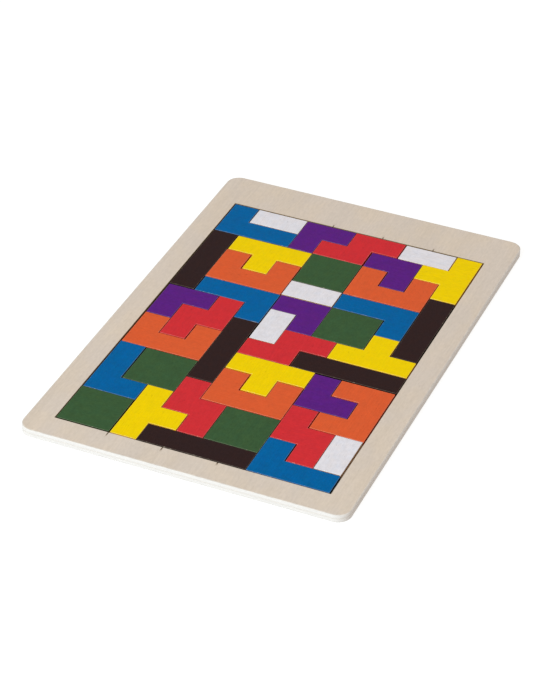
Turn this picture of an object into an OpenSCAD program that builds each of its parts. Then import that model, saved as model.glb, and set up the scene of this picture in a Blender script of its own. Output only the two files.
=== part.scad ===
// Wooden puzzle: forty painted polyomino pieces fill the pocket of a two-sheet plywood tray.
// Seen from above, +X runs across the short side, +Y runs to the wide end of the rim
// and +Z points up. The origin is the centre of the tray's footprint, on its underside.

/* [Cell grid] */
// Side of the square cell that every piece is made of
pitch = 15; // [10:0.5:25]
// Gap between two pieces that lie side by side
piece_gap = 0.4; // [0.2:0.05:0.8]
// Extra room between the outermost pieces and the pocket wall
pocket_room = 0.25; // [0.1:0.05:1]

/* [Painted pieces] */
// Width of the eased edge round the top and bottom of a piece
piece_ease = 0.15; // [0.05:0.05:0.6]
// Depth of the tops of the pieces below the top of the rim
piece_sink = 0.05; // [0:0.05:0.4]

/* [Tray] */
// Thickness of the base sheet
base_t = 2.4; // [2:0.1:6]
// Thickness of the frame sheet, which is the depth of the pocket
frame_t = 2.2; // [2:0.1:8]
// Width of the rim along the left and right sides
side_rim = 13.9; // [10:0.1:30]
// Width of the rim at the near end
near_rim = 14.6; // [10:0.1:30]
// Width of the rim at the far end
far_rim = 27.6; // [10:0.1:50]
// Radius of the tray's four outer corners
corner_r = 7.5; // [3:0.5:20]
// Radius of the sanded edge round the top and the underside
tray_ease = 0.3; // [0.1:0.1:1.4]
// Width of the small bevel on each sheet where the two are glued together
joint_ease = 0.15; // [0.05:0.05:0.3]
// Width of the small bevel round the mouth of the pocket
mouth_ease = 0.2; // [0.05:0.05:0.5]

/* [Cutter slits] */
// Width of the slits that the cutter left, running out of the pocket into the rim
slit_w = 0.3; // [0.1:0.05:0.8]
// Length of the long slits
long_slit = 2.6; // [1:0.1:6]
// Length of the short slits
short_slit = 1.5; // [0.5:0.1:4]

/* [Hidden] */
$fn = 64;
// Small overlap that lets a cut run clear of a face
past = 1;

// Colours of the paint and of the bare plywood
blue = [0.06, 0.37, 0.60];
white = [0.88, 0.86, 0.87];
purple = [0.36, 0.15, 0.49];
red = [0.80, 0.20, 0.21];
yellow = [0.92, 0.80, 0.02];
orange = [0.85, 0.37, 0.20];
green = [0.23, 0.35, 0.22];
black = [0.20, 0.15, 0.15];
frame_wood = [0.84, 0.77, 0.71];
base_wood = [0.80, 0.72, 0.64];

// Each shape is a list of overlapping bars of cells: [column, row, columns, rows].
// It is drawn with its columns along X and its rows along Y.
BAR = [[0, 0, 4, 1]];
DOMINO = [[0, 0, 2, 1]];
SQUARE = [[0, 0, 2, 2]];
CORNER = [[0, 0, 2, 1], [0, 0, 1, 2]];
ELL = [[0, 0, 3, 1], [0, 0, 1, 2]];
STEP = [[0, 0, 2, 1], [1, 0, 1, 2], [1, 1, 2, 1]];
TEE = [[0, 0, 3, 1], [1, 0, 1, 2]];
CUP = [[0, 0, 3, 1], [0, 0, 1, 2], [2, 0, 1, 2]];

// Each spot says where a piece lies: [column, row, quarter turns, turned over, slide].
// Column and row are those of the near left corner of the box of cells that it fills.
// The slide is how far it has settled along X and Y, counted in gaps between pieces.
// The board has settled to the left, so pieces further right have slid further left.
ELL_SPOTS = [
    [0, 13, 0, false, [0.25, -0.25]],
    [6, 9, 2, false, [-0.25, -0.25]],
    [1, 8, 2, false, [0.5, -0.75]],
    [0, 2, 3, true, [0.5, 0.25]],
    [7, 0, 0, false, [-1.25, 0]],
];
DOMINO_SPOTS = [
    [1, 14, 0, false, [0, -0.25]],
    [7, 14, 0, false, [-0.75, -0.5]],
    [4, 10, 0, false, [-0.5, 1]],
    [4, 7, 1, false, [0.75, 0.75]],
    [9, 1, 1, false, [-1.5, 0.25]],
];
CORNER_SPOTS = [
    [3, 13, 3, false, [-0.5, -0.5]],
    [6, 12, 2, false, [-0.25, -0.5]],
    [4, 8, 2, false, [0.5, 0]],
    [0, 7, 3, false, [1.25, -0.5]],
    [7, 4, 0, false, [-0.25, -0.75]],
];
STEP_SPOTS = [
    [4, 13, 0, false, [-1.25, 0]],
    [1, 6, 1, true, [0.75, 0]],
    [4, 6, 0, false, [0, 0.75]],
    [3, 1, 1, false, [0, 0]],
    [7, 1, 1, false, [-1, -0.5]],
];
TEE_SPOTS = [
    [8, 12, 1, false, [-0.75, 0]],
    [1, 11, 2, false, [0.25, -0.25]],
    [7, 7, 0, false, [-0.5, 0.5]],
    [4, 4, 2, false, [0, 1]],
    [2, 0, 3, false, [0.25, 0.5]],
];
CUP_SPOTS = [
    [6, 11, 0, false, [-0.5, 0]],
    [1, 10, 0, false, [-0.5, -0.75]],
    [0, 5, 0, false, [1, 0]],
    [8, 3, 1, false, [-0.75, -0.25]],
    [4, 3, 0, false, [-0.5, 0]],
];
SQUARE_SPOTS = [
    [4, 11, 0, false, [-0.25, 0.75]],
    [6, 8, 0, false, [-0.25, 0]],
    [1, 3, 0, false, [0.75, -0.25]],
    [5, 1, 0, false, [-0.5, 0]],
    [0, 0, 0, false, [-0.25, 1]],
];
BAR_SPOTS = [
    [0, 9, 1, false, [0.25, 0.25]],
    [9, 8, 1, false, [-0.5, 0.25]],
    [3, 4, 1, false, [0.25, 0]],
    [6, 6, 0, false, [0, 0.5]],
    [3, 0, 0, false, [-0.5, 0.25]],
];

// The board is as many cells wide and long as the pieces fill
board_cols = 10;
board_rows = 15;
board_w = board_cols * pitch;
board_l = board_rows * pitch;

// Pocket and tray, worked out from the board and the rims
pocket_w = board_w + 2 * pocket_room;
pocket_l = board_l + 2 * pocket_room;
tray_w = pocket_w + 2 * side_rim;
tray_l = pocket_l + near_rim + far_rim;
pocket_y = (near_rim - far_rim) / 2;

// Pieces nearly fill the pocket's depth
piece_t = frame_t - piece_sink;

// Column lines that the slits run out from, with the length of each
NEAR_SLITS = [[2, long_slit], [4, long_slit], [6, short_slit]];
FAR_SLITS = [[4, short_slit], [6, short_slit], [8, short_slit]];

function numbered(kind, i) = str(kind, "_", i + 1);
function names(kind, spots) = [for (i = [0 : len(spots) - 1]) numbered(kind, i)];

// Cross-section of a flat block with all four corners cut off at 45 degrees
module bevelled_section(width, thick, low, high) {
    polygon([
        [low, 0], [width - low, 0], [width, low], [width, thick - high],
        [width - high, thick], [high, thick], [0, thick - high], [0, low],
    ]);
}

// Block on the XY plane whose top and bottom edges are bevelled, with mitred corners
module bevelled_block(width, length, thick, low, high) {
    intersection() {
        translate([0, length, 0])
            rotate([90, 0, 0])
                linear_extrude(height = length)
                    bevelled_section(width, thick, low, high);
        rotate([90, 0, 90])
            linear_extrude(height = width)
                bevelled_section(length, thick, low, high);
    }
}

// Half of the tray's cross-section: rounded where it is sanded, bevelled at the glue joint
module sheet_half_section(half, thick) {
    square([half - tray_ease, thick]);
    difference() {
        square([half, thick - tray_ease]);
        translate([half, 0])
            rotate(45)
                square(joint_ease * sqrt(2), center = true);
    }
    translate([half - tray_ease, thick - tray_ease])
        circle(tray_ease);
}

// Whole cross-section, centred on the Y axis
module sheet_section(width, thick) {
    sheet_half_section(width / 2, thick);
    mirror([1, 0])
        sheet_half_section(width / 2, thick);
}

// Sheet of the tray with its glued face on the XY plane and its sanded face up
module tray_sheet(thick) {
    inner_w = tray_w - 2 * corner_r;
    inner_l = tray_l - 2 * corner_r;
    translate([0, inner_l / 2, 0])
        rotate([90, 0, 0])
            linear_extrude(height = inner_l)
                sheet_section(tray_w, thick);
    translate([-inner_w / 2, 0, 0])
        rotate([90, 0, 90])
            linear_extrude(height = inner_w)
                sheet_section(tray_l, thick);
    for (x = [-1, 1], y = [-1, 1])
        translate([x * inner_w / 2, y * inner_l / 2, 0])
            rotate_extrude()
                sheet_half_section(corner_r, thick);
}

// Space cut out of the frame sheet: straight walls and a bevelled mouth
module pocket_cut() {
    translate([-pocket_w / 2, -pocket_l / 2, -past])
        cube([pocket_w, pocket_l, frame_t + 2 * past]);
    mouth_w = pocket_w + 2 * (mouth_ease + past);
    mouth_l = pocket_l + 2 * (mouth_ease + past);
    mouth_t = mouth_ease + past;
    translate([-mouth_w / 2, -mouth_l / 2, frame_t - mouth_ease])
        bevelled_block(mouth_w, mouth_l, 2 * mouth_t, mouth_t, 0);
}

// Thin slit on a column line, from the pocket wall out into the rim
module slit(line, length, end) {
    reach = length + past;
    middle = end * (pocket_l / 2 + length - reach / 2);
    translate([line * pitch - board_w / 2, middle, frame_t / 2])
        cube([slit_w, reach, frame_t + 2 * past], center = true);
}

// One piece in its own cells: each bar is pulled in by half a gap on every side
module cells(bars) {
    for (b = bars)
        translate([b[0] * pitch + piece_gap / 2, b[1] * pitch + piece_gap / 2, 0])
            bevelled_block(
                b[2] * pitch - piece_gap, b[3] * pitch - piece_gap,
                piece_t, piece_ease, piece_ease
            );
}

function columns(bars) = max([for (b = bars) b[0] + b[2]]);
function rows(bars) = max([for (b = bars) b[1] + b[3]]);

// A piece at its spot on the board, lying on the base sheet
module placed(bars, spot) {
    across = spot[2] % 2 == 0 ? columns(bars) : rows(bars);
    along = spot[2] % 2 == 0 ? rows(bars) : columns(bars);
    x = (spot[0] + across / 2) * pitch - board_w / 2 + spot[4][0] * piece_gap;
    y = (spot[1] + along / 2) * pitch - board_l / 2 + spot[4][1] * piece_gap;
    translate([x, pocket_y + y, base_t])
        rotate([0, 0, 90 * spot[2]])
            mirror([spot[3] ? 1 : 0, 0, 0])
                translate([-columns(bars) / 2 * pitch, -rows(bars) / 2 * pitch, 0])
                    cells(bars);
}

module tray_base() {
    color(base_wood)
        translate([0, 0, base_t])
            rotate([180, 0, 0])
                tray_sheet(base_t);
}

module tray_frame() {
    color(frame_wood)
        translate([0, 0, base_t])
            difference() {
                tray_sheet(frame_t);
                translate([0, pocket_y, 0]) {
                    pocket_cut();
                    for (s = NEAR_SLITS)
                        slit(s[0], s[1], -1);
                    for (s = FAR_SLITS)
                        slit(s[0], s[1], 1);
                }
            }
}

module blue_ell(i) {
    color(blue) placed(ELL, ELL_SPOTS[i]);
}

module white_domino(i) {
    color(white) placed(DOMINO, DOMINO_SPOTS[i]);
}

module purple_corner(i) {
    color(purple) placed(CORNER, CORNER_SPOTS[i]);
}

module red_step(i) {
    color(red) placed(STEP, STEP_SPOTS[i]);
}

module yellow_tee(i) {
    color(yellow) placed(TEE, TEE_SPOTS[i]);
}

module orange_cup(i) {
    color(orange) placed(CUP, CUP_SPOTS[i]);
}

module green_square(i) {
    color(green) placed(SQUARE, SQUARE_SPOTS[i]);
}

module black_bar(i) {
    color(black) placed(BAR, BAR_SPOTS[i]);
}

tray_base();
tray_frame();
for (i = [0 : len(ELL_SPOTS) - 1])
    blue_ell(i);
for (i = [0 : len(DOMINO_SPOTS) - 1])
    white_domino(i);
for (i = [0 : len(CORNER_SPOTS) - 1])
    purple_corner(i);
for (i = [0 : len(STEP_SPOTS) - 1])
    red_step(i);
for (i = [0 : len(TEE_SPOTS) - 1])
    yellow_tee(i);
for (i = [0 : len(CUP_SPOTS) - 1])
    orange_cup(i);
for (i = [0 : len(SQUARE_SPOTS) - 1])
    green_square(i);
for (i = [0 : len(BAR_SPOTS) - 1])
    black_bar(i);
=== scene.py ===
"""Wooden packing puzzle: forty painted pieces lie in the pocket of a two-sheet plywood tray.

Everything is in metres, in the frame of the packed model: +X runs across the short side,
+Y runs to the wide end of the rim, +Z is up, and the underside of the tray is at z = 0.
"""

import math
import random

import bmesh
import bpy
from mathutils import Matrix, Vector
from mathutils.bvhtree import BVHTree


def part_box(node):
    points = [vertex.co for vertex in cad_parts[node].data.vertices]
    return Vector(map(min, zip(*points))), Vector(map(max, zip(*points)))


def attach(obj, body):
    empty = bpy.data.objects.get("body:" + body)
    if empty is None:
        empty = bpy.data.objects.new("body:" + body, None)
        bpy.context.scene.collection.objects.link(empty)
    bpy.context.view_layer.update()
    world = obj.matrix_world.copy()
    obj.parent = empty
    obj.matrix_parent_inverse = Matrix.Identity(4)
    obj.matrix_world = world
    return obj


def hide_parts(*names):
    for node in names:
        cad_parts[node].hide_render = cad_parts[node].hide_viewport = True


bl_info = {
    "name": "Wooden packing puzzle",
    "version": (1, 0, 0),
    "blender": (4, 5, 0),
    "location": "3D View > Sidebar > Puzzle",
    "description": "Makes the plywood tray, its forty painted pieces and a plain studio",
    "category": "Object",
}

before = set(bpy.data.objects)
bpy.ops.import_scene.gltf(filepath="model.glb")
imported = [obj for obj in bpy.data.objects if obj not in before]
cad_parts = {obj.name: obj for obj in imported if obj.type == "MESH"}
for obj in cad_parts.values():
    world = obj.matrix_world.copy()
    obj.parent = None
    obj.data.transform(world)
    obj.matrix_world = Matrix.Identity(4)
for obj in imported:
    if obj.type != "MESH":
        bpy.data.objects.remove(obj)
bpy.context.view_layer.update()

MM = 0.001
# Edges that bend more than this are crisp, and the rest are smooth
SHARP = math.radians(40)
# Cells from the middle of the board to its left side
HALF_COLUMNS = 5
BASE_LOW, BASE_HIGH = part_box("tray_base")
FRAME_LOW, FRAME_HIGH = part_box("tray_frame")

# Each kind of piece, with its label and the paint that it wears
KINDS = {
    "blue_ell": ("L-shaped pieces", "blue"),
    "white_domino": ("Two-cell pieces", "white"),
    "purple_corner": ("Three-cell corners", "purple"),
    "red_step": ("S-shaped pieces", "red"),
    "yellow_tee": ("T-shaped pieces", "yellow"),
    "orange_cup": ("U-shaped pieces", "orange"),
    "green_square": ("Square pieces", "green"),
    "black_bar": ("Straight pieces", "black"),
}


# Settings


def linear(value):
    """Linear light of a display value from 0 to 255, by the usual display curve."""
    level = value / 255
    if level <= 0.04045:
        return level / 12.92
    return ((level + 0.055) / 1.055) ** 2.4


def colour(name, description, red, green, blue):
    """Colour setting whose default is given in display values."""
    value = (linear(red), linear(green), linear(blue))
    return bpy.props.FloatVectorProperty(
        name=name, description=description, default=value, size=3, min=0, max=1, subtype="COLOR"
    )


def offset(name, description, millimetres, **limits):
    """Setting for a place along an axis, whose default is given in millimetres."""
    return bpy.props.FloatProperty(
        name=name,
        description=description,
        default=millimetres * MM,
        precision=5,
        subtype="DISTANCE",
        unit="LENGTH",
        **limits,
    )


def length(name, description, millimetres):
    """Length setting whose default is given in millimetres."""
    return offset(name, description, millimetres, min=0)


def share(name, description, default):
    """Setting that is a share between 0 and 1."""
    return bpy.props.FloatProperty(
        name=name, description=description, default=default, min=0, max=1, subtype="FACTOR"
    )


def angle(name, description, degrees):
    """Angle setting whose default is given in degrees."""
    turn = math.radians(degrees)
    return bpy.props.FloatProperty(
        name=name, description=description, default=turn, subtype="ANGLE", unit="ROTATION"
    )


def count(name, description, default, low, high):
    """Whole number setting with its limits."""
    return bpy.props.IntProperty(
        name=name, description=description, default=default, min=low, max=high
    )


class PieceSettings(bpy.types.PropertyGroup):
    """Sizes of the painted pieces"""

    pitch: length("Cell", "Side of the square cell that pieces are made of", 15)
    gap: length("Gap", "Gap between two pieces that lie side by side", 0.4)
    sanding: length("Sanding", "How far the sides of a piece are sanded in from its outline", 0.08)
    edge: length("Edge radius", "Radius of the rounded edges of a piece", 0.2)
    hold: length("Flat start", "Width of the narrow ring where the flat face starts", 0.15)
    worn: length("Worn width", "How far the wear reaches in from the edge", 0.9)
    uneven: length("Uneven tops", "How much thinner the thinnest piece may be", 0.06)
    steps: count("Edge steps", "Facets in a rounded edge", 4, 1, 12)
    seed: bpy.props.IntProperty(
        name="Seed", description="Picks the grain and thickness of each piece", default=7
    )


class PaintSettings(bpy.types.PropertyGroup):
    """Colours of the paint, and how it has aged"""

    blue: colour("Blue", "Paint of the L-shaped pieces", 0, 93, 152)
    white: colour("White", "Paint of the two-cell pieces", 222, 216, 220)
    purple: colour("Purple", "Paint of the three-cell corners", 89, 30, 122)
    red: colour("Red", "Paint of the S-shaped pieces", 205, 46, 52)
    yellow: colour("Yellow", "Paint of the T-shaped pieces", 238, 202, 0)
    orange: colour("Orange", "Paint of the U-shaped pieces", 216, 90, 48)
    green: colour("Green", "Paint of the square pieces", 57, 85, 52)
    black: colour("Black", "Paint of the straight pieces", 46, 29, 28)
    wood: colour("Bare wood", "Wood that shows where the paint has rubbed off", 226, 205, 178)
    # Painted shade: below the top, the cut sides of each piece are darkened towards this tint,
    # standing for the shade deep in the gaps
    gap_shade: colour("Singed side", "Tint of the paint low on the cut sides", 232, 190, 140)
    dust: share("Dust", "Strength of the pale dust in the paint", 0.001)
    mottle: share("Mottling", "How uneven the colour of the paint is", 0.36)
    grain: share("Grain through the paint", "How far the wood grain shows through", 0.2)
    thin: share("Thin paint", "How much paler the paint is where it is thin on the edges", 0.08)
    wear: share("Wear", "How much paint has rubbed off along the edges", 0.1)
    burnish: share("Burnished edges", "How much the edges shine", 0.55)


class TraySettings(bpy.types.PropertyGroup):
    """Sizes and colours of the plywood tray"""

    corner: length("Corner radius", "Radius of the four outer corners", 7.5)
    sanded: length("Sanded depth", "How far down the outer edge is rounded", 0.3)
    sanded_width: length("Sanded width", "How far in the outer edge is rounded", 0.7)
    joint: length("Glue joint", "Width of the bevel where the two sheets meet", 0.15)
    mouth: length("Pocket edge", "Radius of the edge round the pocket", 0.2)
    pocket_width: length("Pocket width", "Width of the pocket along X", 150.5)
    pocket_length: length("Pocket length", "Length of the pocket along Y", 225.5)
    pocket_shift: offset("Pocket shift", "Place of the middle of the pocket along Y", -6.5)
    slit: length("Slit width", "Width of the slits that the cutter left", 0.3)
    slit_end: length("Slit end", "Width of a slit at its closed end", 0.26)
    long_slit: length("Long slit", "Length of the longer slits", 2.6)
    short_slit: length("Short slit", "Length of the shorter slits", 1.5)
    tail: bpy.props.FloatProperty(
        name="Browned tail",
        description="How many times further the browning reaches past a slit than beside it",
        default=4,
        min=1,
    )
    veneer: length("Veneer", "Thickness of the outer plies of a sheet", 0.55)
    face: colour("Face wood", "Sanded face of the plywood", 210, 194, 180)
    face_warm: colour("Warm face wood", "Warmer patches of the face", 213, 195, 177)
    # The two cut-edge colours below are paler than the face: partly the edge's own colour, partly
    # painted light that brightens the sides
    ply: colour("Outer ply", "Cut edge of the outer plies", 226, 217, 209)
    core: colour("Core ply", "Cut edge of the middle ply", 222, 213, 206)
    glue: colour("Glue line", "Glue between two plies", 192, 178, 166)
    scorch: colour("Scorched cut", "Walls that the cutter has browned", 124, 98, 60)
    steps: count("Edge steps", "Facets in the rounded outer edge", 8, 2, 24)
    corner_steps: count("Corner steps", "Facets round each outer corner", 24, 4, 64)


class StageSettings(bpy.types.PropertyGroup):
    """Camera, light and floor"""

    target: bpy.props.FloatVectorProperty(
        name="Target",
        description="Point that the camera looks at",
        default=(0.3 * MM, -19.65 * MM, 4.5 * MM),
        precision=5,
        subtype="XYZ",
        unit="LENGTH",
    )
    distance: length("Distance", "From the camera to the target", 1328.6)
    azimuth: angle("Azimuth", "How far the camera stands to the right of the near end", 22.523)
    elevation: angle("Elevation", "Height of the camera over the horizon", 35.082)
    roll: angle("Roll", "How far the camera is turned about its own axis", 1.196)
    lens: bpy.props.FloatProperty(
        name="Lens", description="Focal length in millimetres", default=130.17, min=10
    )
    sky: share("Sky", "Strength of the light that comes from all round", 0.695)
    sky_colour: colour("Sky colour", "Colour of the light from all round", 255, 250, 243)
    lamp_power: bpy.props.FloatProperty(
        name="Lamp power", description="Power of the main lamp", default=80, min=0, unit="POWER"
    )
    lamp_colour: colour("Lamp colour", "Colour of the main lamp", 221, 242, 255)
    lamp_distance: length("Lamp distance", "From the lamp to the puzzle", 3000)
    lamp_size: length("Lamp size", "Side of the square lamp", 1600)
    lamp_azimuth: angle("Lamp azimuth", "Direction of the lamp, to the left of the near end", 16)
    lamp_elevation: angle("Lamp elevation", "Height of the lamp over the horizon", 28)


# Building nodes


def fill(tree, sockets, values):
    """Fills sockets with links or plain values."""
    for name, value in values.items():
        if isinstance(value, bpy.types.NodeSocket):
            tree.links.new(value, sockets[name])
        else:
            sockets[name].default_value = value


def add(tree, kind, inputs=None, **options):
    """Adds a node, sets its options, and fills its inputs with links or plain values."""
    made = tree.nodes.new(kind)
    for option, choice in options.items():
        setattr(made, option, choice)
    fill(tree, made.inputs, inputs or {})
    return made


def calculate(tree, operation, *values):
    """Result of a Math node on one to three values."""
    return add(tree, "ShaderNodeMath", dict(enumerate(values)), operation=operation).outputs[0]


def calculate_vector(tree, operation, *values):
    """Result of a Vector Math node on one to three vectors."""
    made = add(tree, "ShaderNodeVectorMath", dict(enumerate(values)), operation=operation)
    return made.outputs[0]


def scaled(tree, vector, factor):
    """Vector or colour times a number."""
    made = add(tree, "ShaderNodeVectorMath", {0: vector, "Scale": factor}, operation="SCALE")
    return made.outputs[0]


def combined(tree, x, y, z):
    """Vector from three numbers."""
    return add(tree, "ShaderNodeCombineXYZ", {"X": x, "Y": y, "Z": z}).outputs[0]


def blended(tree, factor, first, second):
    """Colour between two colours."""
    made = add(tree, "ShaderNodeMix", {0: factor, 6: first, 7: second}, data_type="RGBA")
    return made.outputs[2]


def remapped(tree, value, low, high, to_low=0.0, to_high=1.0):
    """Value eased from one range into another, and held at its ends."""
    ends = {"From Min": low, "From Max": high, "To Min": to_low, "To Max": to_high}
    options = {"interpolation_type": "SMOOTHSTEP"}
    return add(tree, "ShaderNodeMapRange", {"Value": value, **ends}, **options).outputs["Result"]


def speckled(tree, place, size, detail=2.0):
    """Noise between 0 and 1 whose lumps are about as large as the size vector."""
    stretched = calculate_vector(tree, "DIVIDE", place, size)
    inputs = {"Vector": stretched, "Scale": 1.0, "Detail": detail}
    return add(tree, "ShaderNodeTexNoise", inputs).outputs["Fac"]


def new_group(name, kind, inputs, outputs):
    """Node group with named sockets. Gives the tree, what it is given and what it puts out.

    An input is given as its default value, or as the type of a socket that has none.
    """
    tree = bpy.data.node_groups.new(name, kind)
    types = {float: "Float", int: "Int", bool: "Bool"}
    for socket, value in inputs.items():
        shape = types.get(type(value), value)
        made = tree.interface.new_socket(
            name=socket, in_out="INPUT", socket_type=f"NodeSocket{shape}"
        )
        if shape != value:
            made.default_value = value
    for socket, shape in outputs.items():
        tree.interface.new_socket(name=socket, in_out="OUTPUT", socket_type=f"NodeSocket{shape}")
    given = tree.nodes.new("NodeGroupInput").outputs
    made = tree.nodes.new("NodeGroupOutput").inputs
    return tree, given, made


def use_group(tree, group, inputs):
    """Places a node group in a tree and gives its outputs."""
    kind = "GeometryNodeGroup" if tree.bl_idname == "GeometryNodeTree" else "ShaderNodeGroup"
    return add(tree, kind, inputs, node_tree=group).outputs


def shared(name, build):
    """Node group of this name, built the first time that it is asked for."""
    return bpy.data.node_groups.get(name) or build(name)


# Surface effects that several materials share


def build_grain(name):
    """Wood whose grain runs along Y of the place: streaks, broad bands and small flecks."""
    inputs = {
        "Place": "Vector",
        "Streak Width": 0.5 * MM,
        "Streak Length": 14 * MM,
        "Band Width": 5 * MM,
    }
    outputs = {"Streaks": "Float", "Bands": "Float", "Flecks": "Float"}
    tree, given, made = new_group(name, "ShaderNodeTree", inputs, outputs)
    sway_size = (22 * MM, 45 * MM, 22 * MM)
    sway_width = 6 * MM
    sway = calculate(tree, "SUBTRACT", speckled(tree, given["Place"], sway_size), 0.5)
    sway = combined(tree, calculate(tree, "MULTIPLY", sway, sway_width), 0.0, 0.0)
    place = calculate_vector(tree, "ADD", given["Place"], sway)
    width, along = given["Streak Width"], given["Streak Length"]
    streak_size = combined(tree, width, along, width)
    band = given["Band Width"]
    band_size = combined(tree, band, calculate(tree, "MULTIPLY", band, 9.0), band)
    fleck_width = calculate(tree, "MULTIPLY", width, 1.1)
    fleck_size = combined(tree, fleck_width, calculate(tree, "MULTIPLY", width, 7.0), fleck_width)
    flecks = speckled(tree, place, fleck_size, 1.0)
    results = {
        "Streaks": speckled(tree, place, streak_size, 3.0),
        "Bands": speckled(tree, place, band_size),
        "Flecks": remapped(tree, flecks, 0.68, 0.78),
    }
    fill(tree, made, results)
    return tree


def build_wear(name):
    """Mask of the edges, from the wear stored on the mesh: rubbed bare on the pieces, painted
    shade on the plywood.
    """
    inputs = {"Wear": 0.0, "Place": "Vector", "Amount": 0.5, "Patch Size": 1.5 * MM}
    tree, given, made = new_group(name, "ShaderNodeTree", inputs, {"Mask": "Float"})
    patch = given["Patch Size"]
    broken = speckled(tree, given["Place"], combined(tree, patch, patch, patch), 4.0)
    broken = calculate(tree, "MULTIPLY_ADD", broken, 1.3, -0.65)
    worn = calculate(tree, "ADD", given["Wear"], broken)
    low = calculate(tree, "SUBTRACT", 1.1, given["Amount"])
    high = calculate(tree, "ADD", low, 0.3)
    fill(tree, made, {"Mask": remapped(tree, worn, low, high)})
    return tree


def build_film(name):
    """Thin coat of paint: uneven colour, uneven gloss and a fine brushed surface."""
    inputs = {
        "Colour": "Color",
        "Place": "Vector",
        "Mottling": 0.1,
        "Patch Size": 4 * MM,
        "Dust": 0.01,
    }
    outputs = {"Colour": "Color", "Roughness": "Float", "Height": "Float"}
    tree, given, made = new_group(name, "ShaderNodeTree", inputs, outputs)
    patch = given["Patch Size"]
    patches = speckled(tree, given["Place"], combined(tree, patch, patch, patch), 3.0)
    fine = speckled(tree, given["Place"], (0.8 * MM, 1.5 * MM, 0.8 * MM))
    uneven = calculate(tree, "ADD", calculate(tree, "MULTIPLY", patches, 0.8), fine)
    uneven = calculate(tree, "SUBTRACT", uneven, 0.9)
    light = calculate(tree, "MULTIPLY_ADD", uneven, given["Mottling"], 1.0)
    uneven_paint = scaled(tree, given["Colour"], light)
    elsewhere = calculate_vector(tree, "ADD", given["Place"], (0.3, 0.2, 0.1))
    warmth = speckled(tree, elsewhere, (3 * MM, 5 * MM, 3 * MM), 3.0)
    warmth = calculate(tree, "SUBTRACT", warmth, 0.5)
    most_warmth = calculate(tree, "MULTIPLY", given["Mottling"], 0.6)
    warmth = calculate(tree, "MULTIPLY", warmth, most_warmth)
    warm = calculate(tree, "ADD", 1.0, warmth)
    cool = calculate(tree, "SUBTRACT", 1.0, warmth)
    cast = combined(tree, warm, 1.0, cool)
    uneven_paint = calculate_vector(tree, "MULTIPLY", uneven_paint, cast)
    specks = speckled(tree, elsewhere, (MM, MM, MM), 3.0)
    dusty = calculate(tree, "MULTIPLY", remapped(tree, specks, 0.4, 0.75), given["Dust"])
    dust_colour = (0.8, 0.78, 0.75, 1.0)
    results = {
        "Colour": blended(tree, dusty, uneven_paint, dust_colour),
        "Roughness": remapped(tree, patches, 0.3, 0.7, 0.4, 0.54),
        "Height": fine,
    }
    fill(tree, made, results)
    return tree


def build_plies(name):
    """Plies of a sheet on its cut edge, from the height of the place."""
    inputs = {
        "Place": "Vector",
        "Bottom": 0.0,
        "Top": 2.4 * MM,
        "Veneer": 0.55 * MM,
        "Joint": 2.4 * MM,
    }
    outputs = {"Core": "Float", "Glue": "Float"}
    tree, given, made = new_group(name, "ShaderNodeTree", inputs, outputs)
    height = add(tree, "ShaderNodeSeparateXYZ", {0: given["Place"]}).outputs["Z"]
    wave = speckled(tree, given["Place"], (9 * MM, 9 * MM, 9 * MM))
    wave = calculate(tree, "MULTIPLY_ADD", wave, 0.1 * MM, -0.05 * MM)
    height = calculate(tree, "ADD", height, wave)
    above = calculate(tree, "SUBTRACT", height, given["Bottom"])
    below = calculate(tree, "SUBTRACT", given["Top"], height)
    depth = calculate(tree, "MINIMUM", above, below)
    past = calculate(tree, "SUBTRACT", depth, given["Veneer"])
    away = calculate(tree, "ABSOLUTE", past)
    # How far out from its middle a line stays dark, and where it has faded away
    glue_full, glue_end = 0.03 * MM, 0.1 * MM
    joint_full, joint_end = 0.1 * MM, 0.4 * MM
    glue = remapped(tree, away, glue_full, glue_end, 1.0, 0.0)
    from_joint = calculate(tree, "ABSOLUTE", calculate(tree, "SUBTRACT", height, given["Joint"]))
    joint = remapped(tree, from_joint, joint_full, joint_end, 1.0, 0.0)
    results = {
        "Core": remapped(tree, past, -glue_full, glue_full),
        "Glue": calculate(tree, "MAXIMUM", glue, joint),
    }
    fill(tree, made, results)
    return tree


# Materials


def new_material(name):
    """Material with a lone Principled BSDF. Gives the material, its tree and the shader."""
    material = bpy.data.materials.new(name)
    material.use_nodes = True
    tree = material.node_tree
    return material, tree, tree.nodes["Principled BSDF"]


def attribute(tree, name):
    """Attribute node that reads what the mesh stores under this name."""
    return add(tree, "ShaderNodeAttribute", attribute_type="GEOMETRY", attribute_name=name)


def solid(rgb):
    """Colour with its alpha, for a colour socket."""
    return (*rgb, 1.0)


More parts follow.
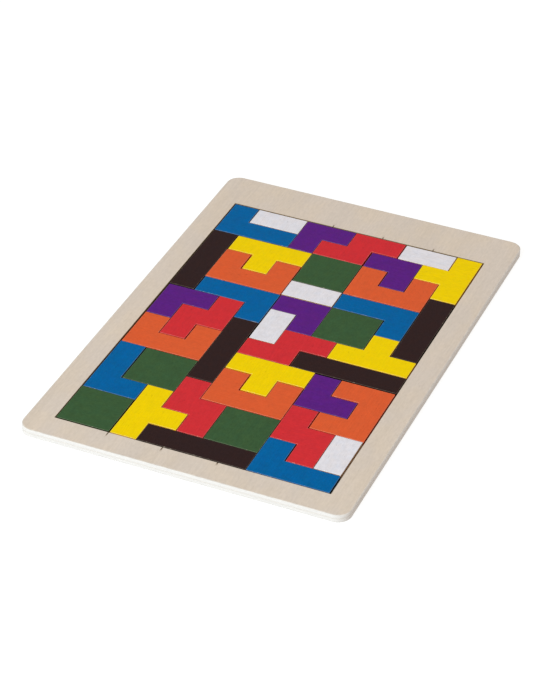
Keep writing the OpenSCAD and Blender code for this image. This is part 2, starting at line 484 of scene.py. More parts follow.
def paint_material(name, paint, settings):
    """Satin paint over plywood: the grain shows through, and wood shows where it is worn."""
    material, tree, shader = new_material(name)
    place = attribute(tree, "grain_place").outputs["Vector"]
    wear = attribute(tree, "wear").outputs["Fac"]
    cut = attribute(tree, "cut").outputs["Fac"]
    # Light paints cover more evenly and shine more at worn edges; dark ones get deeper painted
    # shade on their sides
    paleness = max(paint)
    mottling = settings.mottle * (1.3 - paleness)
    burnish = settings.burnish * (0.15 + paleness)
    gap_shade = [channel * (0.3 + paleness) for channel in settings.gap_shade]
    film = use_group(
        tree,
        shared("Paint film", build_film),
        {"Colour": solid(paint), "Place": place, "Mottling": mottling, "Dust": settings.dust},
    )
    grain = use_group(tree, shared("Wood grain", build_grain), {"Place": place})
    worn = use_group(
        tree,
        shared("Edge wear", build_wear),
        {"Wear": wear, "Place": place, "Amount": settings.wear},
    )["Mask"]
    streaks = calculate(tree, "SUBTRACT", grain["Streaks"], 0.5)
    light = calculate(tree, "MULTIPLY_ADD", streaks, settings.grain, 1.0)
    light = calculate(tree, "MULTIPLY_ADD", grain["Flecks"], -settings.grain, light)
    coat = scaled(tree, film["Colour"], light)
    wood_light = remapped(tree, grain["Streaks"], 0.2, 0.8, 0.85, 1.1)
    wood = scaled(tree, tuple(settings.wood), wood_light)
    thin = calculate(tree, "MULTIPLY", remapped(tree, wear, 0.5, 1.0), settings.thin)
    bare = calculate(tree, "MULTIPLY_ADD", worn, 0.5, thin)
    painted = blended(tree, bare, coat, wood)
    spot = add(tree, "ShaderNodeTexCoord").outputs["Object"]
    height = add(tree, "ShaderNodeSeparateXYZ", {0: spot}).outputs["Z"]
    # Painted shade: the sides are darkened from just under the top downwards, for the shade in the
    # gaps between pieces
    gap_shade_up_to = FRAME_HIGH[2] - 0.4 * MM
    unshaded_from = FRAME_HIGH[2] - 0.12 * MM
    clean = remapped(tree, height, gap_shade_up_to, unshaded_from)
    tint = blended(tree, clean, solid(gap_shade), (1.0, 1.0, 1.0, 1.0))
    rough = calculate(tree, "MULTIPLY_ADD", worn, 0.2, film["Roughness"])
    rough = calculate(tree, "MULTIPLY_ADD", cut, 0.12, rough)
    height = calculate(tree, "MULTIPLY_ADD", film["Height"], 0.35, grain["Streaks"])
    height = calculate(tree, "MULTIPLY_ADD", worn, -0.6, height)
    height = calculate(tree, "MULTIPLY_ADD", grain["Flecks"], -0.5, height)
    bump = add(tree, "ShaderNodeBump", {"Strength": 0.5, "Distance": 0.03 * MM, "Height": height})
    finish = {
        "Base Color": calculate_vector(tree, "MULTIPLY", painted, tint),
        "Roughness": rough,
        "Normal": bump.outputs["Normal"],
        "Coat Weight": calculate(tree, "MULTIPLY", remapped(tree, wear, 0.45, 0.75), burnish),
        "Coat Roughness": 0.35,
        "Specular IOR Level": 0.02,
    }
    fill(tree, shader.inputs, finish)
    return material


def plywood_material(name, bottom, top, settings):
    """Bare sanded plywood: faint grain on its faces, and its plies on the cut edge."""
    material, tree, shader = new_material(name)
    place = add(tree, "ShaderNodeTexCoord").outputs["Object"]
    wear = attribute(tree, "wear").outputs["Fac"]
    cut = attribute(tree, "cut").outputs["Fac"]
    grain = use_group(
        tree,
        shared("Wood grain", build_grain),
        {"Place": place, "Streak Width": 0.7 * MM, "Streak Length": 30 * MM, "Band Width": 8 * MM},
    )
    layers = {"Bottom": bottom, "Top": top, "Veneer": settings.veneer, "Joint": BASE_HIGH[2]}
    plies = use_group(tree, shared("Ply layers", build_plies), {"Place": place, **layers})
    worn = use_group(
        tree,
        shared("Edge wear", build_wear),
        {"Wear": wear, "Place": place, "Amount": 0.35, "Patch Size": 4 * MM},
    )["Mask"]
    clouds = speckled(tree, place, (16 * MM, 26 * MM, 16 * MM), 3.0)
    warm = remapped(tree, clouds, 0.35, 0.65)
    face = blended(tree, warm, solid(settings.face), solid(settings.face_warm))
    light = remapped(tree, grain["Streaks"], 0.2, 0.8, 0.965, 1.03)
    bands = remapped(tree, grain["Bands"], 0.25, 0.75, 0.97, 1.02)
    light = calculate(tree, "MULTIPLY", light, bands)
    fine = speckled(tree, place, (1.2 * MM, 3 * MM, 1.2 * MM))
    light = calculate(tree, "MULTIPLY", light, remapped(tree, fine, 0.25, 0.75, 0.965, 1.035))
    light = calculate(tree, "MULTIPLY_ADD", grain["Flecks"], -0.07, light)
    face = scaled(tree, face, light)
    along_y = speckled(tree, place, (0.22 * MM, 9 * MM, 0.16 * MM), 2.0)
    along_x = speckled(tree, place, (9 * MM, 0.22 * MM, 0.16 * MM), 2.0)
    fibres = add(tree, "ShaderNodeMix", {0: plies["Core"], 2: along_y, 3: along_x}).outputs[0]
    edge = blended(tree, plies["Core"], solid(settings.ply), solid(settings.core))
    glue = calculate(tree, "MULTIPLY", plies["Glue"], 0.42)
    edge = blended(tree, glue, edge, solid(settings.glue))
    fibre_light = remapped(tree, fibres, 0.25, 0.75, 0.94, 1.03)
    wood = blended(tree, cut, face, scaled(tree, edge, fibre_light))
    burnt = scaled(tree, tuple(settings.scorch), fibre_light)
    wood = blended(tree, attribute(tree, "scorch").outputs["Fac"], wood, burnt)
    # Painted shade: a patchy band along the sheet's rounded edges and round the pocket is darkened
    edge_shaded = scaled(tree, wood, 0.86)
    rough = remapped(tree, grain["Bands"], 0.2, 0.8, 0.56, 0.7)
    face_height = calculate(tree, "MULTIPLY_ADD", grain["Flecks"], -0.8, grain["Streaks"])
    height = add(tree, "ShaderNodeMix", {0: cut, 2: face_height, 3: fibres}).outputs[0]
    bump = add(tree, "ShaderNodeBump", {"Strength": 0.45, "Distance": 0.04 * MM, "Height": height})
    finish = {
        "Base Color": blended(tree, worn, wood, edge_shaded),
        "Roughness": calculate(tree, "MULTIPLY_ADD", cut, 0.1, rough),
        "Normal": bump.outputs["Normal"],
        "Specular IOR Level": 0.2,
    }
    fill(tree, shader.inputs, finish)
    return material


# Finishing pieces


def new_object(name, data):
    """Object at the origin that holds this mesh, lamp or camera."""
    made = bpy.data.objects.new(name, data)
    bpy.context.scene.collection.objects.link(made)
    return made


def set_input(modifier, name, value):
    """Sets an input of a Geometry Nodes modifier by the identifier of its socket."""
    for socket in modifier.node_group.interface.items_tree:
        if socket.item_type == "SOCKET" and socket.in_out == "INPUT" and socket.name == name:
            modifier[socket.identifier] = value
            return
    raise KeyError(f"{modifier.node_group.name} has no input named {name}")


def make_plain(thing):
    """Turns what the modifiers make into the object's own mesh, and takes them off."""
    graph = bpy.context.evaluated_depsgraph_get()
    mesh = bpy.data.meshes.new_from_object(
        thing.evaluated_get(graph), preserve_all_data_layers=True, depsgraph=graph
    )
    grown_from = thing.data
    thing.modifiers.clear()
    thing.data = mesh
    mesh.name = thing.name
    bpy.data.meshes.remove(grown_from)


def stand_in(thing, node):
    """Hands a finished piece to the frame in place of its CAD node."""
    if not thing.data.polygons:
        raise RuntimeError(f"{thing.name} came out empty")
    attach(thing, "root")
    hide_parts(node)


# Painted pieces


def cell_centres(node, settings):
    """Centres of the cells that a piece covers, found by looking down on its CAD node."""
    low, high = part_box(node)
    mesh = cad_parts[node].data
    solid_shape = BVHTree.FromPolygons(
        [vertex.co for vertex in mesh.vertices], [polygon.vertices for polygon in mesh.polygons]
    )
    pitch = settings.pitch
    columns = round((high[0] - low[0] + settings.gap) / pitch)
    rows = round((high[1] - low[1] + settings.gap) / pitch)
    above = high[2] + 10 * MM
    centres = []
    for column in range(columns):
        for row in range(rows):
            x = low[0] - settings.gap / 2 + (column + 0.5) * pitch
            y = low[1] - settings.gap / 2 + (row + 0.5) * pitch
            if solid_shape.ray_cast(Vector((x, y, above)), Vector((0, 0, -1)))[0]:
                centres.append((x, y, low[2]))
    return centres


def geometry(tree, kind, inputs, **options):
    """Geometry that a node of Geometry Nodes puts out."""
    return add(tree, "GeometryNode" + kind, inputs, **options).outputs["Geometry"]


def stored(tree, mesh, name, value, shape="FLOAT", selection=True):
    """Mesh with a value stored on its points."""
    inputs = {"Geometry": mesh, "Selection": selection, "Name": name, "Value": value}
    return geometry(tree, "StoreNamedAttribute", inputs, data_type=shape, domain="POINT")


def recalled(tree, name):
    """Vector that was stored on the points under this name."""
    kind = "GeometryNodeInputNamedAttribute"
    return add(tree, kind, {"Name": name}, data_type="FLOAT_VECTOR").outputs["Attribute"]


def ring_position(tree, inset, height):
    """Where a point of the cell sheet goes: pulled in from the outline and lifted."""
    moved = scaled(tree, recalled(tree, "inward"), inset)
    moved = calculate_vector(tree, "ADD", moved, combined(tree, 0.0, 0.0, height))
    return calculate_vector(tree, "ADD", moved, recalled(tree, "seat"))


def build_ring(name):
    """One step of a piece's section: a new ring, drawn out from the last one."""
    inputs = {
        "Mesh": "Geometry",
        "Top": True,
        "Inset": 0.0,
        "Height": 0.0,
        "Wear": 0.0,
        "Cut": 0.0,
    }
    outputs = {"Mesh": "Geometry", "Top": "Bool"}
    tree, given, made = new_group(name, "GeometryNodeTree", inputs, outputs)
    faces = {"Mesh": given["Mesh"], "Selection": given["Top"]}
    still = {"Offset Scale": 0.0, "Individual": False}
    drawn = add(tree, "GeometryNodeExtrudeMesh", {**faces, **still}, mode="FACES").outputs
    top = drawn["Top"]
    position = ring_position(tree, given["Inset"], given["Height"])
    placed = {"Geometry": drawn["Mesh"], "Selection": top, "Position": position}
    mesh = geometry(tree, "SetPosition", placed)
    mesh = stored(tree, mesh, "wear", given["Wear"], selection=top)
    mesh = stored(tree, mesh, "cut", given["Cut"], selection=top)
    fill(tree, made, {"Mesh": mesh, "Top": top})
    return tree


def piece_section(steps):
    """Rings of a piece's section, from the middle of the underside round to the top.

    Each ring is: share of the edge radius that it is pulled in by, whether it is past the
    flat start and past the worn width, how many edge radii it is from the nearer face,
    whether that face is the top, its wear and its cut.
    """
    turns = [math.pi / 2 * step / steps for step in range(steps + 1)]
    lower = [(1.0, 1, 1, 0.0, False, 0.0, 0.0), (1.0, 1, 0, 0.0, False, 0.45, 0.0)]
    for turn in turns:
        worn = 0.75 + 0.25 * math.sin(2 * turn)
        lower.append((1 - math.sin(turn), 0, 0, 1 - math.cos(turn), False, worn, math.sin(turn)))
    lower.append((0.0, 0, 0, 2.0, False, 0.3, 1.0))
    upper = [(*ring[:4], True, *ring[5:]) for ring in reversed(lower)]
    return lower + upper


def build_piece(name):
    """Tree that makes a piece of square cells with rounded edges from its cell centres."""
    inputs = {
        "Geometry": "Geometry",
        "Cell": 15 * MM,
        "Gap": 0.4 * MM,
        "Thickness": 2 * MM,
        "Edge Radius": 0.2 * MM,
        "Flat Start": 0.15 * MM,
        "Worn Width": 0.9 * MM,
        "Grain Turn": 0.0,
        "Seed": 0,
        "Paint": "Material",
    }
    tree, given, made = new_group(name, "GeometryNodeTree", inputs, {"Geometry": "Geometry"})
    cell = given["Cell"]
    grid = {"Size X": cell, "Size Y": cell, "Vertices X": 2, "Vertices Y": 2}
    square = add(tree, "GeometryNodeMeshGrid", grid).outputs["Mesh"]
    spots = {"Points": given["Geometry"], "Instance": square}
    cells = add(tree, "GeometryNodeInstanceOnPoints", spots).outputs["Instances"]
    cells = geometry(tree, "RealizeInstances", {"Geometry": cells})
    sheet = geometry(tree, "MergeByDistance", {"Geometry": cells, "Distance": 0.01 * MM})

    # The mean direction from a point to the cells round it tells which way is inwards. Where
    # it isn't zero it is a sixth of a cell or more, so it is scaled up by six and held at one.
    position = add(tree, "GeometryNodeInputPosition").outputs["Position"]
    kind, options = "GeometryNodeFieldOnDomain", {"data_type": "FLOAT_VECTOR", "domain": "FACE"}
    centre = add(tree, kind, {"Value": position}, **options).outputs["Value"]
    inward = calculate_vector(tree, "SUBTRACT", centre, position)
    inward = scaled(tree, inward, calculate(tree, "DIVIDE", 6.0, cell))
    inward = calculate_vector(tree, "MINIMUM", inward, (1.0, 1.0, 1.0))
    inward = calculate_vector(tree, "MAXIMUM", inward, (-1.0, -1.0, -1.0))
    sheet = stored(tree, sheet, "inward", inward, "FLOAT_VECTOR")
    sheet = stored(tree, sheet, "seat", position, "FLOAT_VECTOR")

    edge, thick = given["Edge Radius"], given["Thickness"]
    half_gap = calculate(tree, "MULTIPLY", given["Gap"], 0.5)
    ring = shared("Piece ring", build_ring)
    steps = bpy.context.scene.puzzle_pieces.steps
    underside, mesh, top = None, sheet, True
    for pull, flat, far, rise, from_top, worn, cut in piece_section(steps):
        inset = calculate(tree, "MULTIPLY_ADD", edge, pull, half_gap)
        inset = calculate(tree, "MULTIPLY_ADD", given["Flat Start"], flat, inset)
        inset = calculate(tree, "MULTIPLY_ADD", given["Worn Width"], far, inset)
        height = calculate(tree, "MULTIPLY", edge, rise)
        if from_top:
            height = calculate(tree, "SUBTRACT", thick, height)
        if underside is None:
            position_now = ring_position(tree, inset, height)
            mesh = geometry(tree, "SetPosition", {"Geometry": sheet, "Position": position_now})
            mesh = stored(tree, mesh, "wear", worn)
            mesh = stored(tree, mesh, "cut", cut)
            underside = add(tree, "GeometryNodeFlipFaces", {"Mesh": mesh}).outputs["Mesh"]
            continue
        measures = {"Inset": inset, "Height": height, "Wear": worn, "Cut": cut}
        drawn = use_group(tree, ring, {"Mesh": mesh, "Top": top, **measures})
        mesh, top = drawn["Mesh"], drawn["Top"]
    joined = add(tree, "GeometryNodeJoinGeometry", {"Geometry": mesh})
    tree.links.new(underside, joined.inputs["Geometry"])
    joined = joined.outputs["Geometry"]
    closed = geometry(tree, "MergeByDistance", {"Geometry": joined, "Distance": 0.002 * MM})

    # Grain of the sheet that the piece was cut from, turned and shifted for each piece
    fixed = add(tree, "FunctionNodeInputInt", integer=0).outputs[0]
    draw = {"Min": (-1.0, -1.0, -1.0), "Max": (1.0, 1.0, 1.0), "ID": fixed, "Seed": given["Seed"]}
    shift = add(tree, "FunctionNodeRandomValue", draw, data_type="FLOAT_VECTOR").outputs["Value"]
    turn = {"Vector": position, "Angle": given["Grain Turn"]}
    turned = add(tree, "ShaderNodeVectorRotate", turn, rotation_type="Z_AXIS").outputs["Vector"]
    grain_place = calculate_vector(tree, "ADD", turned, shift)
    piece = stored(tree, closed, "grain_place", grain_place, "FLOAT_VECTOR")
    for spare in ("inward", "seat"):
        piece = geometry(tree, "RemoveAttribute", {"Geometry": piece, "Name": spare})
    smooth = {"Geometry": piece, "Shade Smooth": True}
    piece = geometry(tree, "SetShadeSmooth", smooth, domain="FACE")
    bend = add(tree, "GeometryNodeInputMeshEdgeAngle").outputs["Unsigned Angle"]
    sharp = calculate(tree, "GREATER_THAN", bend, SHARP)
    crisp = {"Geometry": piece, "Selection": sharp, "Shade Smooth": False}
    piece = geometry(tree, "SetShadeSmooth", crisp, domain="EDGE")
    piece = geometry(tree, "RealizeInstances", {"Geometry": piece})
    piece = geometry(tree, "SetMaterial", {"Geometry": piece, "Material": given["Paint"]})
    fill(tree, made, {"Geometry": piece})
    return tree


def lay_piece(node, material, settings, number):
    """Makes one piece where its CAD node is."""
    centres = cell_centres(node, settings)
    if not centres:
        raise RuntimeError(f"no cells found for {node}")
    mesh = bpy.data.meshes.new(node)
    mesh.from_pydata(centres, [], [])
    piece = new_object(f"painted_{node}", mesh)
    low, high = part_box(node)
    # The seeds are far apart, so that two of them never share a piece's draws
    dice = random.Random(settings.seed * 1000 + number)
    maker = piece.modifiers.new("Piece", "NODES")
    maker.node_group = shared("Packing piece", build_piece)
    measures = {
        "Cell": settings.pitch,
        "Gap": settings.gap + 2 * settings.sanding,
        "Thickness": high[2] - low[2] - settings.uneven * dice.random(),
        "Edge Radius": settings.edge,
        "Flat Start": settings.hold,
        "Worn Width": settings.worn,
        "Grain Turn": math.radians(90 * dice.randrange(2) + dice.uniform(-3, 3)),
        "Seed": settings.seed + number,
        "Paint": material,
    }
    for name, value in measures.items():
        set_input(maker, name, value)
    make_plain(piece)
    stand_in(piece, node)


# Tray


def rounded_outline(width, long_side, radius, steps):
    """Points round a rectangle with rounded corners, anticlockwise from above, with no scorch."""
    points = []
    for corner, (side_x, side_y) in enumerate([(1, -1), (1, 1), (-1, 1), (-1, -1)]):
        centre_x = side_x * (width / 2 - radius)
        centre_y = side_y * (long_side / 2 - radius)
        for step in range(steps + 1):
            turn = math.pi / 2 * (corner - 1 + step / steps)
            x = centre_x + radius * math.cos(turn)
            y = centre_y + radius * math.sin(turn)
            points.append((x, y, 0.0))
    return points


def slit_outline(settings, line, reach, side, spread, halo):
    """Points round one slit, out along a flank and back along the other: x, y and browning."""
    x = (line - HALF_COLUMNS) * bpy.context.scene.puzzle_pieces.pitch
    # A slit's edges are rounded less than the pocket's, and browned as far out as the halo
    flare = min(spread, settings.mouth) * 0.4 + halo
    mouth = side * (settings.slit / 2 + flare)
    end = side * (settings.slit_end / 2 + flare)
    wall = settings.pocket_length / 2
    out = side * (wall + spread)
    start = out + side * 0.1 * MM
    tip = side * (wall + reach + settings.tail * halo)
    tip_browning = 0.6
    points = [(x + mouth, out, 0), (x + mouth, start, 1), (x + end, tip, tip_browning)]
    return points + [(x - end, tip, tip_browning), (x - mouth, start, 1), (x - mouth, out, 0)]


def pocket_outline(settings, spread, halo):
    """Points round the pocket and its slits: x, y and browning. The halo widens only slits."""
    half_w = settings.pocket_width / 2 + spread
    half_l = settings.pocket_length / 2 + spread
    long_slit, short_slit = settings.long_slit, settings.short_slit
    # Each slit runs on from a line between two columns of cells
    points = [(-half_w, -half_l, 0)]
    for line, reach in [(2, long_slit), (4, long_slit), (6, short_slit)]:
        points += slit_outline(settings, line, reach, -1, spread, halo)
    points += [(half_w, -half_l, 0), (half_w, half_l, 0)]
    for line in (8, 6, 4):
        points += slit_outline(settings, line, short_slit, 1, spread, halo)
    points.append((-half_w, half_l, 0))
    return [(x, y + settings.pocket_shift, browned) for x, y, browned in points]


def in_pairs(points):
    """Each point of a closed ring with the one after it."""
    return list(zip(points, points[1:] + points[:1]))


class SheetBuilder:
    """Builds a closed sheet from rings of points that follow its section."""

    def __init__(self):
        self.mesh = bmesh.new()
        # On the plywood the wear only marks where the edges get painted shade
        self.wear = self.mesh.verts.layers.float.new("wear")
        self.cut = self.mesh.verts.layers.float.new("cut")
        self.scorch = self.mesh.verts.layers.float.new("scorch")
        self.last = []
        self.open_edges = []

    def ring(self, outline, height, wear, cut):
        """Adds a ring, each point given as x, y and scorch, and joins it to the one before."""
        points = []
        for x, y, scorch in outline:
            point = self.mesh.verts.new((x, y, height))
            point[self.wear] = wear
            point[self.cut] = cut
            point[self.scorch] = scorch
            points.append(point)
        for (first, second), (fourth, third) in zip(in_pairs(self.last), in_pairs(points)):
            self.mesh.faces.new((first, second, third, fourth))
        self.last = points

    def mark_rim(self):
        """Remembers the edges of the newest ring, for a flat face to be filled to."""
        for pair in in_pairs(self.last):
            self.open_edges.append(self.mesh.edges.get(pair) or self.mesh.edges.new(pair))

    def fill(self):
        """Fills the flat face between the remembered rings."""
        bmesh.ops.triangle_fill(self.mesh, use_beauty=True, edges=self.open_edges)
        self.open_edges = []

    def finish(self, name, material):
        """Closes the mesh into an object with smooth faces and crisp corners."""
        bmesh.ops.recalc_face_normals(self.mesh, faces=self.mesh.faces)
        for face in self.mesh.faces:
            face.smooth = True
        loose = [edge for edge in self.mesh.edges if len(edge.link_faces) != 2]
        if loose:
            raise RuntimeError(f"{name} has {len(loose)} open edges")
        mesh = bpy.data.meshes.new(name)
        self.mesh.to_mesh(mesh)
        self.mesh.free()
        mesh.set_sharp_from_angle(angle=SHARP)
        mesh.materials.append(material)
        return new_object(name, mesh)


def sanded_rings(settings):
    """Rings of the rounded outer edge: inset, depth under the face, wear (where the edge gets
    painted shade) and cut.
    """
    rings = []
    for step in range(settings.steps + 1):
        turn = math.pi / 2 * step / settings.steps
        inset = settings.sanded_width * (1 - math.cos(turn))
        depth = settings.sanded * (1 - math.sin(turn))
        rings.append((inset, depth, 0.5 + 0.5 * math.sin(2 * turn), math.cos(turn)))
    # How far in from the rounding the first flat ring lies, and the one where the wear mask of the
    # painted edge shade ends
    flat_start, unworn = 0.3 * MM, 1.8 * MM
    rings.append((settings.sanded_width + flat_start, 0.0, 0.3, 0.0))
    rings.append((settings.sanded_width + unworn, 0.0, 0.0, 0.0))
    return rings


def outer_ring(builder, inset, height, wear, cut, settings):
    """Adds a ring of the tray's outer outline, pulled in by the inset."""
    width = BASE_HIGH[0] - BASE_LOW[0] - 2 * inset
    long_side = BASE_HIGH[1] - BASE_LOW[1] - 2 * inset
    outline = rounded_outline(width, long_side, settings.corner - inset, settings.corner_steps)
    builder.ring(outline, height, wear, cut)


def pocket_ring(builder, height, spread, wear, cut, slit_scorch, settings, halo=0.0):
    """Adds a ring of the pocket's outline: scorched as it is cut, and more round the slits."""
    outline = pocket_outline(settings, spread, halo)
    burnt = [(x, y, slit_scorch * browned if browned else cut) for x, y, browned in outline]
    builder.ring(burnt, height, wear, cut)


def joint_rings(settings):
    """Rings of the small bevel at the glue joint: inset, distance from the joint, wear (where the
    edge gets painted shade).
    """
    joint = settings.joint
    return [(joint, 0.0, 0.2), (0.0, joint, 0.3), (0.0, joint * 2, 0.1)]


def base_sheet(material, settings):
    """Lower sheet: glued face up, sanded edge round the underside."""
    bottom, top = BASE_LOW[2], BASE_HIGH[2]
    builder = SheetBuilder()
    for place, (inset, depth, wear, cut) in enumerate(reversed(sanded_rings(settings))):
        outer_ring(builder, inset, bottom + depth, wear, cut, settings)
        if place == 0:
            builder.mark_rim()
            builder.fill()
    for inset, depth, wear in reversed(joint_rings(settings)):
        outer_ring(builder, inset, top - depth, wear, 1.0, settings)
    outer_ring(builder, settings.joint * 2, top, 0.0, 0.0, settings)
    builder.mark_rim()
    builder.fill()
    return builder.finish("plywood_base_sheet", material)


def frame_sheet(material, settings):
    """Upper sheet: sanded edge round the top, and the pocket cut through it."""
    bottom, top = FRAME_LOW[2], FRAME_HIGH[2]
    builder = SheetBuilder()
    for place, (inset, depth, wear) in enumerate(joint_rings(settings)):
        outer_ring(builder, inset, bottom + depth, wear, 1.0, settings)
        if place == 0:
            builder.mark_rim()
    underside_edges = builder.open_edges
    builder.open_edges = []
    for inset, depth, wear, cut in sanded_rings(settings):
        outer_ring(builder, inset, top - depth, wear, cut, settings)
    builder.mark_rim()
    builder.last = []
    mouth = settings.mouth
    # Two flat rings lie on the face, and the browning round the slits begins at the first
    clean, dusky = mouth + 0.9 * MM, mouth + 0.1 * MM
    pocket_ring(builder, top, clean, 0.0, 0.0, 0.0, settings, halo=0.5 * MM)
    builder.mark_rim()
    pocket_ring(builder, top, dusky, 0.4, 0.0, 0.15, settings, halo=0.25 * MM)
    steps = 3
    for step in range(steps + 1):
        turn = math.pi / 2 * step / steps
        brown = math.sin(turn)
        height = top - mouth * (1 - math.cos(turn))
        pocket_ring(builder, height, mouth * (1 - brown), 0.9, brown, max(brown, 0.8), settings)
    pocket_ring(builder, top - mouth * 2, 0.0, 0.2, 1.0, 1.0, settings)
    pocket_ring(builder, bottom, 0.0, 0.0, 1.0, 1.0, settings)
    builder.fill()
    builder.mark_rim()
    builder.open_edges += underside_edges
    builder.fill()
    return builder.finish("plywood_frame_sheet", material)


# Stage


def direction(azimuth, elevation):
    """Unit vector towards a place at an azimuth to the right of the near end."""
    level = math.cos(elevation)
    return Vector((math.sin(azimuth) * level, -math.cos(azimuth) * level, math.sin(elevation)))


def place_camera(settings):
    """Camera at the viewing angle of the photograph."""
    data = bpy.data.cameras.new("Camera")
    data.lens = settings.lens
    data.sensor_width = 36
    data.sensor_fit = "AUTO"
    data.clip_end = 20
    camera = new_object("Camera", data)
    back = direction(settings.azimuth, settings.elevation)
    level = Vector((math.cos(settings.azimuth), math.sin(settings.azimuth), 0))
    upright = back.cross(level)
    turn = settings.roll
    right = level * math.cos(turn) + upright * math.sin(turn)
    up = upright * math.cos(turn) - level * math.sin(turn)
    camera.rotation_mode = "QUATERNION"
    camera.rotation_quaternion = Matrix((right, up, back)).transposed().to_quaternion()
    camera.location = Vector(settings.target) + back * settings.distance
    bpy.context.scene.camera = camera


def place_lamp(settings):
    """Large soft lamp to the near left of the puzzle."""
    data = bpy.data.lights.new("Main lamp", "AREA")
    data.shape = "SQUARE"
    data.size = settings.lamp_size
    data.energy = settings.lamp_power
    data.color = settings.lamp_colour
    lamp = new_object("Main lamp", data)
    towards = direction(-settings.lamp_azimuth, settings.lamp_elevation)
    lamp.location = towards * settings.lamp_distance
    lamp.rotation_mode = "QUATERNION"
    lamp.rotation_quaternion = towards.to_track_quat("Z", "Y")


def seen_directly(tree):
    """1 for rays that should meet the white studio: camera, glossy and transmission rays."""
    path = tree.nodes.new("ShaderNodeLightPath").outputs
    mirrored = calculate(tree, "MAXIMUM", path["Is Glossy Ray"], path["Is Transmission Ray"])
    return calculate(tree, "MAXIMUM", path["Is Camera Ray"], mirrored)


def light_world(settings):
    """Even white surroundings that light the puzzle from all round."""
    world = bpy.data.worlds.new("Studio")
    world.use_nodes = True
    tree = world.node_tree
    background = tree.nodes["Background"]
    seen = seen_directly(tree)
    tint = blended(tree, seen, solid(settings.sky_colour), (1, 1, 1, 1))
    tree.links.new(tint, background.inputs["Color"])
    strength = calculate(tree, "MULTIPLY_ADD", seen, 1 - settings.sky, settings.sky)
    tree.links.new(strength, background.inputs["Strength"])
    bpy.context.scene.world = world


def floor_material():
    """White floor that keeps a soft shadow and is clear from below."""
    material, tree, shader = new_material("Studio floor")
    tree.nodes.remove(shader)
    # The camera sees a floor that glows white and still darkens in shadow
    plain = add(tree, "ShaderNodeBsdfDiffuse", {"Color": (0.8, 0.8, 0.8, 1)}).outputs[0]
    dim = add(tree, "ShaderNodeBsdfDiffuse", {"Color": (0.3, 0.3, 0.3, 1)}).outputs[0]
    glow = add(tree, "ShaderNodeEmission", {"Color": (1, 1, 1, 1), "Strength": 0.8}).outputs[0]
    white = add(tree, "ShaderNodeAddShader", {0: dim, 1: glow}).outputs[0]
    seen = seen_directly(tree)
    floor = add(tree, "ShaderNodeMixShader", {0: seen, 1: plain, 2: white}).outputs[0]
    clear = add(tree, "ShaderNodeBsdfTransparent").outputs[0]
    below = tree.nodes.new("ShaderNodeNewGeometry").outputs["Backfacing"]
    surface = add(tree, "ShaderNodeMixShader", {0: below, 1: floor, 2: clear}).outputs[0]
    tree.links.new(surface, tree.nodes["Material Output"].inputs["Surface"])
    return material


def lay_floor():
    """Wide floor a hair above the underside, so that the underside isn't shut off from light."""
    half = 4.0
    height = 0.05 * MM
    mesh = bpy.data.meshes.new("studio_floor")
    sides = [(-1, -1), (1, -1), (1, 1), (-1, 1)]
    corners = [(half * side_x, half * side_y, height) for side_x, side_y in sides]
    mesh.from_pydata(corners, [], [(0, 1, 2, 3)])
    mesh.materials.append(floor_material())
    new_object("studio_floor", mesh)


# Operators


class PUZZLE_OT_set_stage(bpy.types.Operator):
    """Set up the floor, the light and the camera"""

    bl_idname = "puzzle.set_stage"
    bl_label = "Set the stage"

    def execute(self, context):
        settings = context.scene.puzzle_stage
        lay_floor()
        light_world(settings)
        place_lamp(settings)
        place_camera(settings)
        context.scene.view_settings.view_transform = "Standard"
        return {"FINISHED"}


class PUZZLE_OT_make_base(bpy.types.Operator):
    """Make the lower plywood sheet of the tray"""

    bl_idname = "puzzle.make_base"
    bl_label = "Make base sheet"

    def execute(self, context):
        settings = context.scene.puzzle_tray
        material = plywood_material("Base plywood", BASE_LOW[2], BASE_HIGH[2], settings)
        stand_in(base_sheet(material, settings), "tray_base")
        return {"FINISHED"}


class PUZZLE_OT_make_frame(bpy.types.Operator):
    """Make the upper plywood sheet of the tray, with the pocket cut through it"""

    bl_idname = "puzzle.make_frame"
    bl_label = "Make frame sheet"

    def execute(self, context):
        settings = context.scene.puzzle_tray
        material = plywood_material("Frame plywood", FRAME_LOW[2], FRAME_HIGH[2], settings)
        stand_in(frame_sheet(material, settings), "tray_frame")
        return {"FINISHED"}


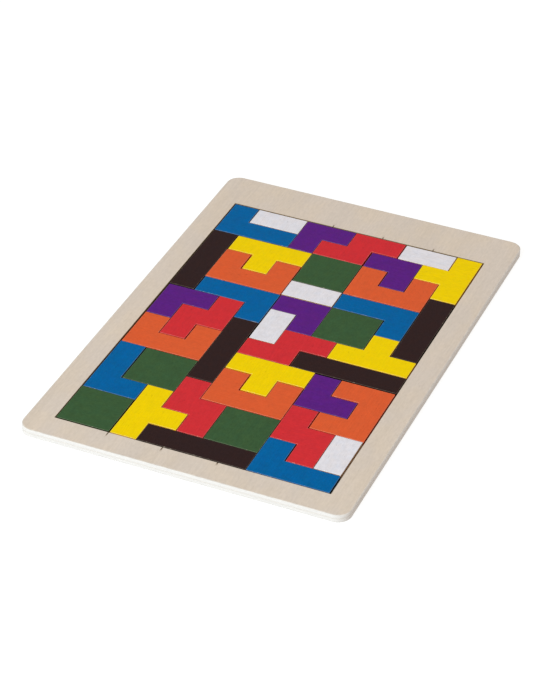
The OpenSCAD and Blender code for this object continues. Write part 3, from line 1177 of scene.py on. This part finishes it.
class PUZZLE_OT_lay_pieces(bpy.types.Operator):
    """Make all the pieces of one shape and colour, in their places in the tray"""

    bl_idname = "puzzle.lay_pieces"
    bl_label = "Lay painted pieces"

    kind: bpy.props.EnumProperty(
        name="Kind",
        description="Shape and colour of the pieces to make",
        items=[(kind, label, f"{label}, {paint}") for kind, (label, paint) in KINDS.items()],
    )

    def execute(self, context):
        paints = context.scene.puzzle_paint
        paint = KINDS[self.kind][1]
        nodes = sorted(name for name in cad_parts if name.startswith(self.kind + "_"))
        if not nodes:
            raise RuntimeError(f"the packed model has no {self.kind}")
        material = paint_material(f"{paint.capitalize()} paint", getattr(paints, paint), paints)
        # Each kind has ten numbers of its own, so a piece keeps its grain if a kind grows
        first = 10 * list(KINDS).index(self.kind)
        for number, node in enumerate(nodes, first):
            lay_piece(node, material, context.scene.puzzle_pieces, number)
        return {"FINISHED"}


class PUZZLE_PT_sidebar(bpy.types.Panel):
    """Buttons that make the puzzle, with its settings"""

    bl_label = "Wooden packing puzzle"
    bl_idname = "PUZZLE_PT_sidebar"
    bl_space_type = "VIEW_3D"
    bl_region_type = "UI"
    bl_category = "Puzzle"

    def draw(self, context):
        layout = self.layout
        for name, settings in SETTINGS.items():
            box = layout.box()
            box.label(text=settings.__doc__)
            for setting in settings.__annotations__:
                box.prop(getattr(context.scene, name), setting)
        layout.operator(PUZZLE_OT_set_stage.bl_idname)
        layout.operator(PUZZLE_OT_make_base.bl_idname)
        layout.operator(PUZZLE_OT_make_frame.bl_idname)
        for kind, (label, _) in KINDS.items():
            layout.operator(PUZZLE_OT_lay_pieces.bl_idname, text=label).kind = kind


SETTINGS = {
    "puzzle_pieces": PieceSettings,
    "puzzle_paint": PaintSettings,
    "puzzle_tray": TraySettings,
    "puzzle_stage": StageSettings,
}

BUTTONS = (
    PUZZLE_OT_set_stage,
    PUZZLE_OT_make_base,
    PUZZLE_OT_make_frame,
    PUZZLE_OT_lay_pieces,
    PUZZLE_PT_sidebar,
)


def register():
    """Registers the settings, the operators and the panel."""
    for name, settings in SETTINGS.items():
        bpy.utils.register_class(settings)
        setattr(bpy.types.Scene, name, bpy.props.PointerProperty(type=settings))
    for button in BUTTONS:
        bpy.utils.register_class(button)


def unregister():
    """Takes off what register put on."""
    for button in reversed(BUTTONS):
        bpy.utils.unregister_class(button)
    for name, settings in reversed(SETTINGS.items()):
        delattr(bpy.types.Scene, name)
        bpy.utils.unregister_class(settings)


def main():
    """Makes the whole scene."""
    register()
    bpy.ops.puzzle.set_stage()
    bpy.ops.puzzle.make_base()
    bpy.ops.puzzle.make_frame()
    for kind in KINDS:
        bpy.ops.puzzle.lay_pieces(kind=kind)


if __name__ == "__main__":
    main()
